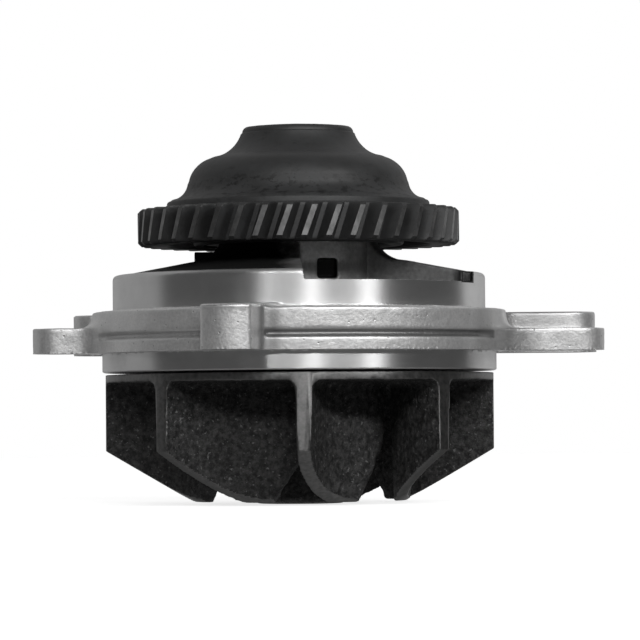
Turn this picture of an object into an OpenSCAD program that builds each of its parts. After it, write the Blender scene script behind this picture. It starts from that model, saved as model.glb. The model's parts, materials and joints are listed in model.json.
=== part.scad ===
// Gear-driven coolant pump. Z is the shaft axis, with the drive gear at the top and the impeller below.
// The origin is on the shaft axis in the plane of the flange's gasket face. -Y is the front.

/* [Housing] */
// Outer radius of the flange body
body_r = 55.9; // [55:0.1:58]
// Radius of the turned pilot that enters the water chamber
pilot_r = 53.15; // [52:0.05:54]
// Length of the turned pilot below the flange
pilot_h = 5.2; // [4.8:0.1:5.4]
// Height of the flange body above its gasket face
body_h = 11.2; // [10.8:0.1:11.6]
// Radius of the upper turned spigot
spigot_r = 50.25; // [49.5:0.05:51]
// Height of the spigot's rim where it is cut low for the mating gear
low_rim_z = 18.1; // [17:0.1:19]
// Height of the spigot's rim elsewhere
high_rim_z = 21; // [20.4:0.1:21.4]
// Radius of the bearing snout
snout_r = 20.5; // [20:0.1:21.5]
// Height of the top of the snout
snout_top_z = 47.5; // [47:0.1:48]
// Thickness of the left bolt ear
left_ear_h = 6.9; // [6:0.1:7.5]
// Thickness of the right bolt ears
ear_h = 6; // [5.5:0.1:7.5]
// Radius of a flange bolt hole
bolt_hole_r = 4.5; // [4:0.1:4.8]

/* [Shaft and bearing] */
// Radius of the pump shaft
shaft_r = 7.959; // [7.8:0.001:8]
// Outer radius of the bearing
bearing_r = 15; // [14.9:0.01:15.1]
// Radius of a bearing ball
ball_r = 2.75; // [2.7:0.01:2.8]
// Number of bearing balls
ball_count = 9; // [7:1:9]
// Radius of a bearing roller
roller_r = 2; // [1.98:0.01:2.02]
// Number of bearing rollers
roller_count = 12; // [9:1:12]
// Radial gap that the rolling elements run with
race_gap = 0.03; // [0.02:0.01:0.05]

/* [Drive gear] */
// Number of teeth
tooth_count = 42; // [40:1:44]
// Outside radius of the gear
gear_r = 43.4; // [42:0.1:44]
// Height of the gear's lower face
gear_z = 28.9; // [28.6:0.1:29.4]
// Width of the toothed face
gear_face = 9.75; // [9:0.05:10]
// Helix angle of the teeth, right hand
helix_angle = 19; // [10:1:25]
// Height of the hub's flat top
hub_top_z = 61.2; // [60.5:0.1:62]

/* [Impeller] */
// Outside radius of the impeller
impeller_r = 52.3; // [50:0.1:53]
// Gap between the pilot's end and the impeller disc
disc_gap = 0.55; // [0.45:0.05:1]
// Number of vanes
vane_count = 8; // [6:1:9]
// Thickness of a vane at its outer tip
vane_t = 3.8; // [3:0.1:4.5]
// Height of the lower corner of a vane's outer edge
vane_corner_z = -26.2; // [-28:0.1:-24]
// Height of the flat bottoms of the vanes
vane_bottom_z = -39.9; // [-42:0.1:-38]

/* [Hidden] */
$fn = 96;
big = 200;

// Angle of the front of the pump, from which angles to the right are counted
front = -90;

// Flange: lower plate, cove and upper band
plate_h = 3.4;
cove_top_z = 5.05;
cove_depth = 1.3;
edge_r = 0.8;

// Bolt lugs: hole centres and sizes
lug_r = 7.4;
wide_lug_r = 8;
front_lug = [-17.3, -57.75];
back_lug = [-17.3, 57.75];
left_lug = [-64.2, -7];
left_back_lug = [-55.25, 28.5];
right_lug = [74, -7];
right_back_lug = [74.4, 28.5];
lug_root = 30;
lug_fillet = 9;

// Full-height bosses: a bar with flat sides, cut off by a wider arc
boss_half = 7;
boss_arc_r = 12.5;
boss_tip = 7.6;
boss_fillet = 5;
front_pad_z = body_h + 0.4;
side_pad_z = body_h - 0.1;
side_pad_length = 14;
side_pad_r = wide_lug_r - 0.3;

// Upper spigot and the pocket that clears the mating gear
spigot_fillet = 0.5;
rim_round = 2.2;
pocket_start = 1.5;
pocket_end = 63;
pocket_floor_z = 13.5;
pocket_wall = 4.2;
pocket_top_z = 33;
pocket_ledge = 0.3;
notch_width = 2.6;
notch_length = 7;
notch_at = [43.3, -24.5, low_rim_z];
cone_outer_r = spigot_r - 2;
snout_fillet = 9;
cone_inner_z = 24.6;
post_size = [8, 12, 7.4];
post_at = [-28.6, 10, 20.6];

// Small cast window in the front of the snout
window_at = 22;
window_z = 19.6;
window_size = [4, 6, 5];

// Bores of the housing, from the water side up
water_bore_r = 18;
water_bore_z = 3.5;
weep_chamber_r = 14;
weep_chamber_z = 8;
weep_hole_r = 2;
weep_z = 5.75;
oil_seal_r = 13;
oil_seal_z = 13;
bearing_z = 13.8;
bearing_top_z = 45.5;
circlip_t = 1.2;
circlip_groove_r = bearing_r + 0.8;

// Bearing
ring_bore_r = 12;
ball_z = 38;
ball_pitch_r = 10.1;
groove_r = ball_r * 1.04;
inner_groove_centre = ball_pitch_r - ball_r - race_gap + groove_r;
outer_groove_centre = ball_pitch_r + ball_r + race_gap - groove_r;
roller_z = 18;
roller_h = 10;
roller_pitch_r = (shaft_r + ring_bore_r) / 2;
cage_gap = 0.12;
cage_half_t = 0.85;
bearing_seal_t = 1.2;
bearing_seal_inset = 0.8;
lip_gap = 0.06;

// Shaft ends
shaft_bottom_z = -39.6;
shaft_top_z = hub_top_z - 1.2;
centre_r = 2.2;
centre_depth = 3;

// Gear tooth form
normal_module = gear_r / (tooth_count / cos(helix_angle) / 2 + 1);
pitch_r = gear_r - normal_module;
root_r = pitch_r - 1.25 * normal_module;
tooth_pitch = 360 / tooth_count;
tooth_twist = gear_face * tan(helix_angle) / pitch_r * 180 / PI;
tooth_at = front + 3.9;

tooth_chamfer = 0.9;

// Arcs of the hub's outline, from the toothed face up: [centre radius, centre height, arc radius]
hub_lip = [34.7, gear_z + gear_face + 1.5, 0.8];
hub_hollow = [34.9, 46.3, 5];
hub_shoulder = [21.6, 44.7, 8.2];
hub_waist = [24.3, 62.2, 9.34];
hub_crown = [13.4, hub_top_z - 1.8, 1.7];
hub_flat_r = 10.5;
web_r = 38;

// Inside of the gear's hub
hub_cavity_r = 24.5;
hub_cavity_top_r = 22.8;
hub_roof_z = 48.8;

// Impeller
disc_top_z = -pilot_h - disc_gap;
disc_t = 1.55;
hub_r = 12.5;
hub_foot_z = vane_bottom_z - 0.7;
flat_r = 29.2;
vane_at = front + 1.1;
seat_bore_r = 15.6;
seat_floor_z = disc_top_z - 6.2;

// Face seal
seal_face_z = disc_top_z - 1.4;
face_gap = 0.05;
spring_r = 14.9;
spring_wire_r = 0.55;
spring_turns = 3.5;
spring_low_z = -3.1;
spring_high_z = 1.7;
spring_sides = 8;
spring_steps = 24;

function polar(r, a) = [r * cos(a), r * sin(a)];
function arc(c, r, a0, a1, n) = [for (i = [0:n]) c + polar(r, a0 + (a1 - a0) * i / n)];

// Turns a profile of [radius, height] points round the shaft axis
module turned(points) {
    rotate_extrude() polygon(points);
}

// A turned ring of rectangular section
module ring(r0, r1, z0, z1) {
    translate([0, 0, z0]) difference() {
        cylinder(h = z1 - z0, r = r1);
        translate([0, 0, -1]) cylinder(h = z1 - z0 + 2, r = r0);
    }
}

// ---- housing ----

// Plan of a lug: a bar with a round end that runs from the flange out to the bolt hole
module lug_plan(at, r, a) {
    translate(at) circle(r = r, $fn = 48);
    translate(at) rotate(a) translate([-lug_root, -r]) square([lug_root, 2 * r]);
}

// Plan of a full-height boss that runs straight out from the flange
module boss_plan(at) {
    reach = norm(at) + boss_tip;
    rotate(atan2(at[1], at[0])) intersection() {
        translate([reach - lug_root, -boss_half]) square([lug_root, 2 * boss_half]);
        translate([reach - boss_arc_r, 0]) circle(r = boss_arc_r);
    }
}

// Joins lugs to the flange with concave corners
module blended(inner_r, fillet) {
    offset(r = -fillet, $fn = 64) offset(delta = fillet) {
        circle(r = inner_r, $fn = 128);
        children();
    }
}

module ears() {
    linear_extrude(height = left_ear_h) blended(body_r - cove_depth - 0.4, lug_fillet)
        lug_plan(left_lug, lug_r, 180);
    linear_extrude(height = ear_h) blended(body_r - cove_depth - 0.8, lug_fillet) {
        lug_plan(right_lug, wide_lug_r, 0);
        lug_plan(right_back_lug, wide_lug_r, 0);
    }
    linear_extrude(height = front_pad_z) blended(spigot_r - 2, boss_fillet) {
        boss_plan(front_lug);
        boss_plan(back_lug);
    }
    linear_extrude(height = side_pad_z) blended(spigot_r - 2.4, lug_fillet) lug_plan(left_back_lug, lug_r, 180);
}

// Raised pad on the right-hand back ear
module side_pad() {
    h = side_pad_z - ear_h + 1;
    translate([right_back_lug[0], right_back_lug[1], ear_h - 1]) {
        for (shift = [0, side_pad_length]) {
            translate([-shift, 0, 0]) cylinder(h = h, r = side_pad_r);
        }
        translate([-side_pad_length, -side_pad_r, 0]) cube([side_pad_length, 2 * side_pad_r, h]);
    }
}

// Turned and cast outside of the flange, spigots and snout
module housing_outside() {
    turned(concat(
        [[0, -pilot_h], [pilot_r - 0.4, -pilot_h], [pilot_r, -pilot_h + 0.4], [pilot_r, 0]],
        [[body_r - 0.4, 0], [body_r, 0.4], [body_r, plate_h - 0.3], [body_r - 0.3, plate_h]],
        [[body_r - cove_depth, plate_h + 0.35], [body_r - cove_depth, cove_top_z - 0.35]],
        [[body_r - 0.3, cove_top_z], [body_r, cove_top_z + 0.3]],
        arc([body_r - edge_r, body_h - edge_r], edge_r, 0, 90, 6),
        arc([spigot_r + spigot_fillet, body_h + spigot_fillet], spigot_fillet, 270, 180, 4),
        arc([spigot_r - rim_round, high_rim_z - rim_round], rim_round, 0, 80, 8),
        [[cone_outer_r, high_rim_z]],
        arc([snout_r + snout_fillet, cone_inner_z + snout_fillet], snout_fillet, 270, 180, 10),
        [[snout_r, snout_top_z - 0.6], [snout_r - 0.6, snout_top_z], [0, snout_top_z]]
    ));
}

// Wedge between two plan angles, with its point on the shaft axis
module wedge(a0, a1, z0, z1) {
    steps = 8;
    translate([0, 0, z0]) linear_extrude(height = z1 - z0)
        polygon(concat([[0, 0]], [for (i = [0:steps]) polar(big, a0 + (a1 - a0) * i / steps)]));
}

// Pocket for the mating gear: the rim is cut low, and the floor behind it lower still
module gear_pocket() {
    a0 = front + pocket_start;
    a1 = front + pocket_end;
    intersection() {
        wedge(a0, a1, low_rim_z, pocket_top_z);
        ring(snout_r + pocket_ledge, body_r, low_rim_z, pocket_top_z);
    }
    intersection() {
        wedge(a0, a1, pocket_floor_z, pocket_top_z);
        ring(snout_r + pocket_ledge, spigot_r - pocket_wall, pocket_floor_z, pocket_top_z);
    }
    translate(notch_at) cube([notch_width, notch_length, pocket_top_z - low_rim_z]);
}

module snout_window() {
    rotate(front + window_at)
        translate([snout_r - window_size[0] / 2, -window_size[1] / 2, window_z]) cube(window_size);
}

module housing_bores() {
    turned([
        [0, -pilot_h - 1], [water_bore_r, -pilot_h - 1], [water_bore_r, water_bore_z],
        [weep_chamber_r, water_bore_z], [weep_chamber_r, weep_chamber_z],
        [oil_seal_r, weep_chamber_z], [oil_seal_r, oil_seal_z],
        [oil_seal_r - 1, oil_seal_z], [oil_seal_r - 1, bearing_z],
        [bearing_r, bearing_z], [bearing_r, bearing_top_z],
        [circlip_groove_r, bearing_top_z], [circlip_groove_r, bearing_top_z + circlip_t],
        [bearing_r, bearing_top_z + circlip_t], [bearing_r, snout_top_z - 0.4],
        [bearing_r + 0.5, snout_top_z + 0.1], [bearing_r + 0.5, snout_top_z + 1], [0, snout_top_z + 1]
    ]);
    rotate([-90, 0, 0]) translate([0, -weep_z, 0]) cylinder(h = big, r = weep_hole_r);
    for (at = [front_lug, back_lug, left_lug, left_back_lug, right_lug, right_back_lug]) {
        translate([at[0], at[1], -1]) cylinder(h = body_h + 3, r = bolt_hole_r);
    }
}

module housing() {
    color("silver") difference() {
        union() {
            housing_outside();
            ears();
            side_pad();
            translate(post_at) cube(post_size);
        }
        gear_pocket();
        snout_window();
        housing_bores();
    }
}

// ---- bearing ----

module bearing_outer_ring() {
    color("gainsboro") difference() {
        ring(ring_bore_r, bearing_r, bearing_z, bearing_top_z);
        translate([0, 0, ball_z]) rotate_extrude() translate([outer_groove_centre, 0]) circle(r = groove_r);
    }
}

module bearing_seal(z) {
    color("black") ring(shaft_r + lip_gap, ring_bore_r, z, z + bearing_seal_t);
}

module bearing_seal_gear_side() bearing_seal(bearing_top_z - bearing_seal_inset - bearing_seal_t);
module bearing_seal_impeller_side() bearing_seal(bearing_z + bearing_seal_inset);

module bearing_balls() {
    color("white") for (i = [0:ball_count - 1]) {
        rotate(i * 360 / ball_count) translate([ball_pitch_r, 0, ball_z]) sphere(r = ball_r);
    }
}

module ball_cage() {
    color("tan") difference() {
        ring(ball_pitch_r - cage_half_t, ball_pitch_r + cage_half_t, ball_z - 3.6, ball_z + 3.6);
        for (i = [0:ball_count - 1]) {
            rotate(i * 360 / ball_count) translate([ball_pitch_r, 0, ball_z]) sphere(r = ball_r + cage_gap);
        }
    }
}

module rollers(grow) {
    for (i = [0:roller_count - 1]) {
        rotate(i * 360 / roller_count) translate([roller_pitch_r, 0, roller_z - grow])
            cylinder(h = roller_h + 2 * grow, r = roller_r - race_gap / 2 + grow);
    }
}

module bearing_rollers() {
    color("white") rollers(0);
}

module roller_cage() {
    color("tan") difference() {
        ring(roller_pitch_r - cage_half_t, roller_pitch_r + cage_half_t, roller_z - 1.6,
            roller_z + roller_h + 1.6);
        rollers(cage_gap);
    }
}

// Open snap ring with a gap for the pliers
module bearing_circlip() {
    color("dimgray") difference() {
        ring(bearing_r - 2.2, circlip_groove_r - 0.05, bearing_top_z, bearing_top_z + circlip_t);
        rotate(90) translate([0, -3, bearing_top_z - 1]) cube([big, 6, circlip_t + 2]);
    }
}

// ---- oil seal between the bearing and the weep chamber ----

module oil_seal_case() {
    t = 0.8;
    color("darkgray") turned([
        [oil_seal_r - t, weep_chamber_z], [oil_seal_r, weep_chamber_z], [oil_seal_r, oil_seal_z],
        [oil_seal_r - 2.6, oil_seal_z], [oil_seal_r - 2.6, oil_seal_z - t], [oil_seal_r - t, oil_seal_z - t]
    ]);
}

garter_r = 9.9;
garter_wire_r = 0.5;
garter_z = 9.3;

module oil_seal_lip() {
    low = weep_chamber_z + 0.2;
    top = oil_seal_z - 0.8;
    color("saddlebrown") difference() {
        turned([
            [shaft_r + lip_gap, low + 1], [shaft_r + lip_gap + 0.6, low], [garter_r + 0.3, low],
            [garter_r + 0.6, low + 2], [oil_seal_r - 1.4, top - 0.9], [oil_seal_r - 0.8, top - 0.9],
            [oil_seal_r - 0.8, top], [oil_seal_r - 2.6, top], [garter_r - 0.6, low + 2]
        ]);
        translate([0, 0, garter_z]) rotate_extrude() translate([garter_r + 0.3, 0]) circle(r = garter_wire_r);
    }
}

module oil_seal_garter_spring() {
    color("lightgray") translate([0, 0, garter_z])
        rotate_extrude() translate([garter_r + 0.3, 0]) circle(r = garter_wire_r);
}

// ---- coolant face seal ----

module water_seal_cup() {
    t = 0.6;
    color("goldenrod") turned([
        [water_bore_r - t, -4.4], [water_bore_r, -4.4], [water_bore_r, water_bore_z], [9.6, water_bore_z],
        [9.6, -0.5], [9.6 + t, -0.5], [9.6 + t, water_bore_z - t], [water_bore_r - t, water_bore_z - t]
    ]);
}

module water_seal_bellows() {
    top = water_bore_z - 0.6;
    color("dimgray") turned([
        [10.2, -2.2], [10.2, top], [17.4, top], [17.4, top - 0.6], [13.4, top - 0.6], [12, 0.6],
        [13.3, -0.9], [13.6, -3.7], [10.4, -3.7], [10.4, -2.9], [11.4, -2.2]
    ]);
}

// Points of one wire section of the helical spring
function spring_section(turn) = [
    for (k = [0:spring_sides - 1])
        let (
            s = 360 * k / spring_sides,
            r = spring_r + spring_wire_r * cos(s),
            z = spring_low_z + (spring_high_z - spring_low_z) * turn / spring_turns,
            p = polar(r, 360 * turn)
        ) [p[0], p[1], z + spring_wire_r * sin(s)]
];

module water_seal_spring() {
    rings = spring_turns * spring_steps;
    points = [for (i = [0:rings]) each spring_section(i / spring_steps)];
    sides = [
        for (i = [0:rings - 1]) for (k = [0:spring_sides - 1])
            let (n = (k + 1) % spring_sides, a = i * spring_sides, b = a + spring_sides)
                [a + k, b + k, b + n, a + n]
    ];
    ends = [[for (k = [0:spring_sides - 1]) k], [for (k = [spring_sides - 1:-1:0]) rings * spring_sides + k]];
    color("lightgray") polyhedron(points = points, faces = concat(sides, ends), convexity = 8);
}

module carbon_ring() {
    color("black") turned([
        [10.4, seal_face_z + face_gap], [12.6, seal_face_z + face_gap], [12.6, seal_face_z + 1],
        [13.6, seal_face_z + 1.4], [13.6, -3.7], [10.4, -3.7]
    ]);
}

module seat_ring() {
    color("white") turned([
        [9.4, seal_face_z], [14, seal_face_z], [14, seat_floor_z + 0.9], [9.4, seat_floor_z + 0.9]
    ]);
}

module seat_cup() {
    color("dimgray") turned([
        [shaft_r, seat_floor_z], [seat_bore_r, seat_floor_z], [seat_bore_r, seal_face_z - 0.8],
        [14, seal_face_z - 0.8], [14, seat_floor_z + 0.9], [shaft_r, seat_floor_z + 0.9]
    ]);
}

// ---- rotor ----

module slinger() {
    color("silver") turned([
        [shaft_r, 4.6], [8.8, 4.6], [9.4, 5.2], [11.8, 5.6], [11.8, 6.1], [8.8, 6.1], [8.8, 6.8], [shaft_r, 6.8]
    ]);
}

module shaft() {
    c = 0.8;
    color("lightgray") difference() {
        turned([
            [0, shaft_bottom_z + centre_depth], [centre_r, shaft_bottom_z],
            [shaft_r - c, shaft_bottom_z], [shaft_r, shaft_bottom_z + c],
            [shaft_r, shaft_top_z - c], [shaft_r - c, shaft_top_z],
            [centre_r, shaft_top_z], [0, shaft_top_z - centre_depth]
        ]);
        translate([0, 0, ball_z]) rotate_extrude() translate([inner_groove_centre, 0]) circle(r = groove_r);
    }
}

// Half widths of a tooth, in degrees, at the root, near the pitch circle and at the tip
root_half = tooth_pitch * 0.37;
pitch_half = tooth_pitch * 0.25;
tip_half = tooth_pitch * 0.13;

module tooth_plan() {
    polygon([
        for (i = [0:tooth_count - 1]) let (a = i * tooth_pitch) each [
            polar(root_r, a - root_half), polar(pitch_r - 0.6, a - pitch_half - 0.4), polar(pitch_r, a - pitch_half),
            polar(gear_r - 0.25, a - tip_half - 0.25), polar(gear_r, a - tip_half + 0.15),
            polar(gear_r, a + tip_half - 0.15), polar(gear_r - 0.25, a + tip_half + 0.25),
            polar(pitch_r, a + pitch_half), polar(pitch_r - 0.6, a + pitch_half + 0.4), polar(root_r, a + root_half)
        ]
    ]);
}

// Toothed ring, chamfered at both ends of the teeth
module teeth() {
    top = gear_z + gear_face;
    intersection() {
        translate([0, 0, gear_z]) rotate(tooth_at - tooth_twist / 2)
            linear_extrude(height = gear_face, twist = -tooth_twist, slices = 4) tooth_plan();
        turned([
            [0, gear_z - 1], [gear_r - tooth_chamfer - 1, gear_z - 1], [gear_r + 1, gear_z + 1 + tooth_chamfer],
            [gear_r + 1, top - 1 - tooth_chamfer], [gear_r - tooth_chamfer - 1, top + 1], [0, top + 1]
        ]);
    }
}

function hub_arc(c, a0, a1, n) = arc([c[0], c[1]], c[2], a0, a1, n);

// Outer shape of the hub: a lip, a domed shoulder, a waist and a flat crown
module hub_outside() {
    top = gear_z + gear_face;
    turned(concat(
        [[0, gear_z + 2], [web_r, gear_z + 2], [web_r, top - 0.6], [web_r - 0.8, top]],
        hub_arc(hub_lip, 0, 90, 4),
        hub_arc(hub_hollow, 262, 180, 8),
        hub_arc(hub_shoulder, 12, 72, 12),
        hub_arc(hub_waist, 262, 199, 10),
        hub_arc(hub_crown, 0, 66, 5),
        [[hub_flat_r, hub_top_z], [0, hub_top_z]]
    ));
}

module hub_inside() {
    turned([
        [0, gear_z - 1], [hub_cavity_r + 0.8, gear_z - 1], [hub_cavity_r + 0.8, gear_z], [hub_cavity_r, gear_z + 0.8],
        [hub_cavity_r, 42], [hub_cavity_top_r, 44], [hub_cavity_top_r, hub_roof_z - 1],
        [hub_cavity_top_r - 1, hub_roof_z], [shaft_r, hub_roof_z], [shaft_r, shaft_top_z - 0.2],
        [shaft_r + 0.8, shaft_top_z + 0.3], [shaft_r + 0.8, hub_top_z + 1], [0, hub_top_z + 1]
    ]);
    // Annular relief in the lower face
    turned([
        [28.4, gear_z - 1], [35.4, gear_z - 1], [35.4, gear_z + 3.2], [34.4, gear_z + 4.2],
        [29.4, gear_z + 4.2], [28.4, gear_z + 3.2]
    ]);
}

module drive_gear() {
    color("#3a3a3c") difference() {
        union() {
            teeth();
            hub_outside();
        }
        hub_inside();
    }
}

// Centre line of a vane: nearly radial at the tip, hooked forward at its inner end
vane_line = [
    [52.9, 0], [48, 0.3], [43.2, 1.4], [38.4, 3.7], [34.6, 7], [31.8, 11.8], [29.8, 17.5], [28.8, 24],
    [28.4, 31], [28, 38], [27.3, 45]
];
// Foot of a vane's inner end, and how far the end leans forward on its way up
vane_end = [28.5, 30];
vane_end_lean = 31;
function vane_point(i) = polar(vane_line[i][0], vane_line[i][1]);
function vane_normal(i) =
    let (
        a = vane_point(max(i - 1, 0)),
        b = vane_point(min(i + 1, len(vane_line) - 1)),
        d = (b - a) / norm(b - a)
    ) [-d[1], d[0]];
function vane_half(i) = vane_t / 2 + 0.5 * i / (len(vane_line) - 1);

module vane_plan() {
    last = len(vane_line) - 1;
    side = vane_normal(last) * vane_half(last);
    ahead = [side[1], -side[0]];
    polygon(concat(
        [for (i = [0:last]) vane_point(i) + vane_normal(i) * vane_half(i)],
        [for (a = [60:-30:-60]) vane_point(last) + side * sin(a) + ahead * cos(a)],
        [for (i = [last:-1:0]) vane_point(i) - vane_normal(i) * vane_half(i)]
    ));
}

// One vane, with its inner end cut on the slant
module vane() {
    difference() {
        translate([0, 0, vane_bottom_z - 1]) linear_extrude(height = disc_top_z - vane_bottom_z) vane_plan();
        rotate(vane_end[1]) translate([vane_end[0], 0, vane_bottom_z]) rotate([-vane_end_lean, 0, 0])
            translate([-10, 0, -10]) cube([20, 20, 60]);
    }
}

module impeller() {
    disc_low = disc_top_z - disc_t;
    color("#222222") difference() {
        union() {
            turned([
                [0, disc_top_z], [impeller_r, disc_top_z], [impeller_r, disc_low], [30, disc_low - 0.8],
                [20, disc_low - 2.6], [hub_r + 2, disc_low - 8], [hub_r, vane_bottom_z + 4],
                [hub_r, hub_foot_z + 1.2], [hub_r - 1.2, hub_foot_z], [0, hub_foot_z]
            ]);
            intersection() {
                turned([
                    [20, disc_top_z - 0.5], [impeller_r, disc_top_z - 0.5], [impeller_r, vane_corner_z],
                    [flat_r, vane_bottom_z], [20, vane_bottom_z]
                ]);
                for (i = [0:vane_count - 1]) {
                    rotate(vane_at + i * 360 / vane_count) vane();
                }
            }
        }
        turned([
            [0, hub_foot_z - 1], [shaft_r, hub_foot_z - 1], [shaft_r, seat_floor_z],
            [seat_bore_r, seat_floor_z], [seat_bore_r, disc_top_z + 1], [0, disc_top_z + 1]
        ]);
    }
}

housing();
bearing_outer_ring();
bearing_seal_gear_side();
bearing_seal_impeller_side();
bearing_circlip();
oil_seal_case();
oil_seal_lip();
oil_seal_garter_spring();
water_seal_cup();
water_seal_bellows();
water_seal_spring();
carbon_ring();
shaft();
drive_gear();
impeller();
seat_ring();
seat_cup();
slinger();
bearing_balls();
ball_cage();
bearing_rollers();
roller_cage();
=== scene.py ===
import json
from math import atan, cos, pi, radians, sin, tan

import bpy
import numpy as np
import openvdb
from mathutils import Matrix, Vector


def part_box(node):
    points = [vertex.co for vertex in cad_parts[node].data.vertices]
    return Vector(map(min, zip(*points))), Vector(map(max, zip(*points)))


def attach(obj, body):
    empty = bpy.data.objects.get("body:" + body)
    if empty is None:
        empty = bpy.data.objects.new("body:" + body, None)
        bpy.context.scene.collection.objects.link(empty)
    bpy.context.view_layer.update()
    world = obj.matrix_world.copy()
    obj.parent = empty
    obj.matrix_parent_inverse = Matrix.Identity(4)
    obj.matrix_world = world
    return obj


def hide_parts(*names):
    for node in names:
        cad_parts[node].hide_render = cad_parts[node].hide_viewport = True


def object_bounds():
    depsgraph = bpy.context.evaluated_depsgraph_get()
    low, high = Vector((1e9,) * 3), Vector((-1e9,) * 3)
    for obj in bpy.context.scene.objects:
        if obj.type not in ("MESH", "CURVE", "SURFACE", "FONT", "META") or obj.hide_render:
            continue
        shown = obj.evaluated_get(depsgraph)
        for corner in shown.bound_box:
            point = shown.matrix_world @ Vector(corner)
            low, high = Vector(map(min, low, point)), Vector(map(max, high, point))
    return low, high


# Lengths are in mm until a mesh is made, and z = 0 is the gasket face of the flange.
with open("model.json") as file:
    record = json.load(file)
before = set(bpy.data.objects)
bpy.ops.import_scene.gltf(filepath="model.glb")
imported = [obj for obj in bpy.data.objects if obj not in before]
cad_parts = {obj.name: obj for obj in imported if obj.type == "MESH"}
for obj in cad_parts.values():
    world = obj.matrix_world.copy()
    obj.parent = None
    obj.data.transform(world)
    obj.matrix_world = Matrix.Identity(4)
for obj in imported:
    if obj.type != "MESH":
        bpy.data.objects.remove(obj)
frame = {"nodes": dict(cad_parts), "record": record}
cad_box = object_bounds()
MM = 0.001
# Spacing of the grids that the castings are worked out on, and the most triangles in one casting
GRID_STEP = 0.45
MOST_TRIANGLES = 196000
mounts = {m["name"]: m for m in frame["record"]["mounts"]}
FRONT = -pi / 2


def extent(node):
    """Lowest and highest corner of a CAD node, in mm."""
    low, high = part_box(node)
    return np.array(low) / MM, np.array(high) / MM


# ---- places taken from the frame ----

housing_low, housing_high = extent("housing")
gear_low, gear_high = extent("drive_gear")
impeller_low, impeller_high = extent("impeller")
PILOT_R = mounts["pilot_spigot"]["dims"]["r_mm"]
SPIGOT_R = mounts["upper_spigot"]["dims"]["r_mm"]
SHAFT_R = extent("shaft")[1][0]


def make_camera():
    """Camera level with the impeller, a metre in front of the shaft, tipped up a little."""
    cam_data = bpy.data.cameras.new("camera")
    cam_data.sensor_width = 36
    cam_data.lens = 223.9
    cam_data.clip_start = 0.05
    cam = bpy.data.objects.new("camera", cam_data)
    bpy.context.collection.objects.link(cam)
    yaw, pitch, roll = radians(-0.300), radians(1.44), radians(-0.47)
    cam.matrix_world = (
        Matrix.Translation((0, -1.0746, -0.01825))
        @ Matrix.Rotation(yaw, 4, "Z")
        @ Matrix.Rotation(pi / 2 + pitch, 4, "X")
        @ Matrix.Rotation(roll, 4, "Z")
    )
    bpy.context.scene.camera = cam


# ---- signed distances ----


def arc(centre, r, a0, a1, n):
    """Points along an arc, angles in degrees."""
    angles = np.radians(np.linspace(a0, a1, n + 1))
    return [(centre[0] + r * cos(a), centre[1] + r * sin(a)) for a in angles]


def polygon_distance(points, x, y):
    """Signed distance from the points (x, y) to a closed polygon, negative inside."""
    best = np.full(np.broadcast(x, y).shape, 1e9, np.float32)
    inside = np.zeros(best.shape, bool)
    for (ax, ay), (bx, by) in zip(points, points[1:] + points[:1]):
        ex, ey = bx - ax, by - ay
        t = np.clip(((x - ax) * ex + (y - ay) * ey) / max(ex * ex + ey * ey, 1e-12), 0, 1)
        best = np.minimum(best, (x - ax - t * ex) ** 2 + (y - ay - t * ey) ** 2)
        if ay != by:
            inside ^= ((ay > y) != (by > y)) & (x < ex * (y - ay) / ey + ax)
    return np.where(inside, -1, 1) * np.sqrt(best)


def smooth_min(a, b, k):
    """Union of two distance fields with a fillet about k wide."""
    h = np.clip(0.5 + 0.5 * (b - a) / k, 0, 1)
    return b * (1 - h) + a * h - k * h * (1 - h)


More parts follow.
